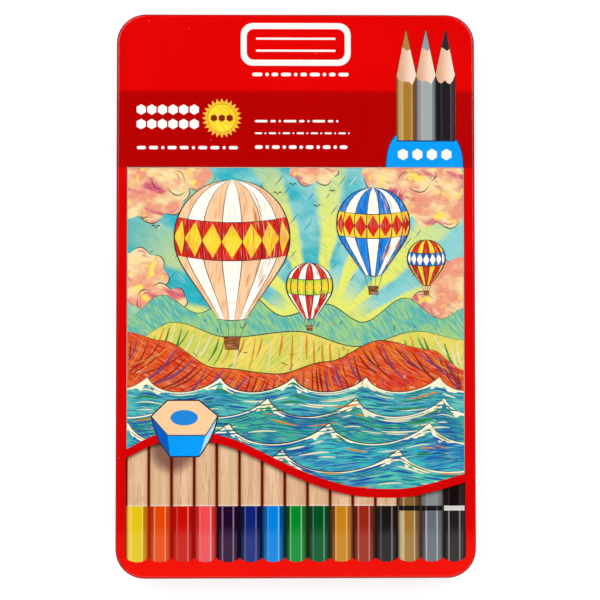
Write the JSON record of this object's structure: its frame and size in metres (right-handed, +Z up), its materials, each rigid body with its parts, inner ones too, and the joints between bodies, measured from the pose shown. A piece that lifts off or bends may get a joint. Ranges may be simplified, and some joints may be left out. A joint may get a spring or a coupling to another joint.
{
  "type": "colored pencil box",
  "caption": "Flat hinged tin box of colored pencils with a glossy printed lid, a grooved tray inside and hexagonal pencils that slide in their grooves",
  "frame": {"origin": "middle of the underside, on the table", "axes": "+Z up out of the lid, +Y towards the picture's top and the pencils' points, +X from the hinge side to the opening side"},
  "size_m": [0.1184, 0.186, 0.012],
  "materials": {
    "printed_lid": "glossy red lacquer with a printed picture, bare tinplate inside",
    "lacquered_base": "glossy red lacquer outside, bare tinplate inside",
    "hinge_wire": "drawn wire, lightly brushed",
    "tray_film": "thin white vacuum-formed sheet, soft gloss",
    "dipped_wood": "natural pale wood, clear varnish, end dipped in glossy colour",
    "gold_wood": "wood under metallic gold paint",
    "silver_wood": "wood under metallic silver paint",
    "black_wood": "wood under glossy black paint",
    "yellow_core": "waxy pigmented lead",
    "orange_core": "waxy pigmented lead",
    "red_core": "waxy pigmented lead",
    "coral_core": "waxy pigmented lead",
    "purple_core": "waxy pigmented lead",
    "navy_core": "waxy pigmented lead",
    "sky_blue_core": "waxy pigmented lead",
    "green_core": "waxy pigmented lead",
    "dark_green_core": "waxy pigmented lead",
    "ochre_core": "waxy pigmented lead",
    "brown_core": "waxy pigmented lead",
    "black_core": "waxy pigmented lead",
    "painted_gold_core": "waxy pigmented lead",
    "painted_silver_core": "waxy pigmented lead",
    "painted_black_core": "waxy pigmented lead"
  },
  "bodies": {
    "base": {"base_shell": "lacquered_base", "tray_insert": "tray_film", "hinge_wire_lower": "hinge_wire", "hinge_wire_upper": "hinge_wire"},
    "lid": {"lid_shell": "printed_lid"},
    "yellow_pencil": {"yellow_pencil_casing": "dipped_wood", "yellow_pencil_core": "yellow_core"},
    "orange_pencil": {"orange_pencil_casing": "dipped_wood", "orange_pencil_core": "orange_core"},
    "red_pencil": {"red_pencil_casing": "dipped_wood", "red_pencil_core": "red_core"},
    "coral_pencil": {"coral_pencil_casing": "dipped_wood", "coral_pencil_core": "coral_core"},
    "purple_pencil": {"purple_pencil_casing": "dipped_wood", "purple_pencil_core": "purple_core"},
    "navy_pencil": {"navy_pencil_casing": "dipped_wood", "navy_pencil_core": "navy_core"},
    "sky_blue_pencil": {"sky_blue_pencil_casing": "dipped_wood", "sky_blue_pencil_core": "sky_blue_core"},
    "green_pencil": {"green_pencil_casing": "dipped_wood", "green_pencil_core": "green_core"},
    "dark_green_pencil": {"dark_green_pencil_casing": "dipped_wood", "dark_green_pencil_core": "dark_green_core"},
    "ochre_pencil": {"ochre_pencil_casing": "dipped_wood", "ochre_pencil_core": "ochre_core"},
    "brown_pencil": {"brown_pencil_casing": "dipped_wood", "brown_pencil_core": "brown_core"},
    "black_pencil": {"black_pencil_casing": "dipped_wood", "black_pencil_core": "black_core"},
    "painted_gold_pencil": {"painted_gold_pencil_casing": "gold_wood", "painted_gold_pencil_core": "painted_gold_core"},
    "painted_silver_pencil": {"painted_silver_pencil_casing": "silver_wood", "painted_silver_pencil_core": "painted_silver_core"},
    "painted_black_pencil": {"painted_black_pencil_casing": "black_wood", "painted_black_pencil_core": "painted_black_core"}
  },
  "joints": [
    {"name": "lid_hinge", "type": "hinge", "parent": "base", "child": "lid", "pos_m": [-0.05834, 0, 0.00446], "axis": [0, -1, 0], "range_deg": [0, 115]},
    {"name": "yellow_pencil_slide", "type": "slide", "parent": "base", "child": "yellow_pencil", "axis": [0, 1, 0], "range_m": [-0.00075, 0.00075]},
    {"name": "orange_pencil_slide", "type": "slide", "parent": "base", "child": "orange_pencil", "axis": [0, 1, 0], "range_m": [-0.00075, 0.00075]},
    {"name": "red_pencil_slide", "type": "slide", "parent": "base", "child": "red_pencil", "axis": [0, 1, 0], "range_m": [-0.00075, 0.00075]},
    {"name": "coral_pencil_slide", "type": "slide", "parent": "base", "child": "coral_pencil", "axis": [0, 1, 0], "range_m": [-0.00075, 0.00075]},
    {"name": "purple_pencil_slide", "type": "slide", "parent": "base", "child": "purple_pencil", "axis": [0, 1, 0], "range_m": [-0.00075, 0.00075]},
    {"name": "navy_pencil_slide", "type": "slide", "parent": "base", "child": "navy_pencil", "axis": [0, 1, 0], "range_m": [-0.00075, 0.00075]},
    {"name": "sky_blue_pencil_slide", "type": "slide", "parent": "base", "child": "sky_blue_pencil", "axis": [0, 1, 0], "range_m": [-0.00075, 0.00075]},
    {"name": "green_pencil_slide", "type": "slide", "parent": "base", "child": "green_pencil", "axis": [0, 1, 0], "range_m": [-0.00075, 0.00075]},
    {"name": "dark_green_pencil_slide", "type": "slide", "parent": "base", "child": "dark_green_pencil", "axis": [0, 1, 0], "range_m": [-0.00075, 0.00075]},
    {"name": "ochre_pencil_slide", "type": "slide", "parent": "base", "child": "ochre_pencil", "axis": [0, 1, 0], "range_m": [-0.00075, 0.00075]},
    {"name": "brown_pencil_slide", "type": "slide", "parent": "base", "child": "brown_pencil", "axis": [0, 1, 0], "range_m": [-0.00075, 0.00075]},
    {"name": "black_pencil_slide", "type": "slide", "parent": "base", "child": "black_pencil", "axis": [0, 1, 0], "range_m": [-0.00075, 0.00075]},
    {"name": "painted_gold_pencil_slide", "type": "slide", "parent": "base", "child": "painted_gold_pencil", "axis": [0, 1, 0], "range_m": [-0.00075, 0.00075]},
    {"name": "painted_silver_pencil_slide", "type": "slide", "parent": "base", "child": "painted_silver_pencil", "axis": [0, 1, 0], "range_m": [-0.00075, 0.00075]},
    {"name": "painted_black_pencil_slide", "type": "slide", "parent": "base", "child": "painted_black_pencil", "axis": [0, 1, 0], "range_m": [-0.00075, 0.00075]}
  ]
}
